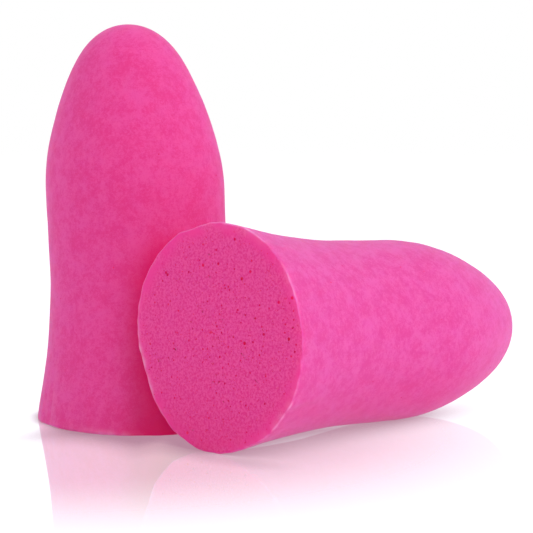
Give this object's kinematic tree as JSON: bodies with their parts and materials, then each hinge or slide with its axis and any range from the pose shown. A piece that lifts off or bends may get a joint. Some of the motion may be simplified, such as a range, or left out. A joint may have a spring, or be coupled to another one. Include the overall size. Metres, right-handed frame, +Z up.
{
  "type": "foam ear plugs",
  "caption": "Bell-shaped soft foam ear plugs with a domed tip and a flared flat cut end, one standing on its cut end and one lying on its side.",
  "frame": {"origin": "centre of the standing plug's flat cut end, on the surface that both plugs rest on", "axes": "+Z up, out of the surface; the lying plug is towards -Y and +X, with its tip pointing between +X and +Y"},
  "size_m": [0.0294, 0.0229, 0.024],
  "materials": {
    "pink_foam": "matte"
  },
  "bodies": {
    "standing_plug_body": {"standing_plug": "pink_foam"},
    "lying_plug_body": {"lying_plug": "pink_foam"}
  },
  "joints": [
    {"name": "lift_lying_plug", "type": "slide", "parent": "standing_plug_body", "child": "lying_plug_body", "axis": [0, 0, 1], "range_m": [0, 0.03]}
  ]
}
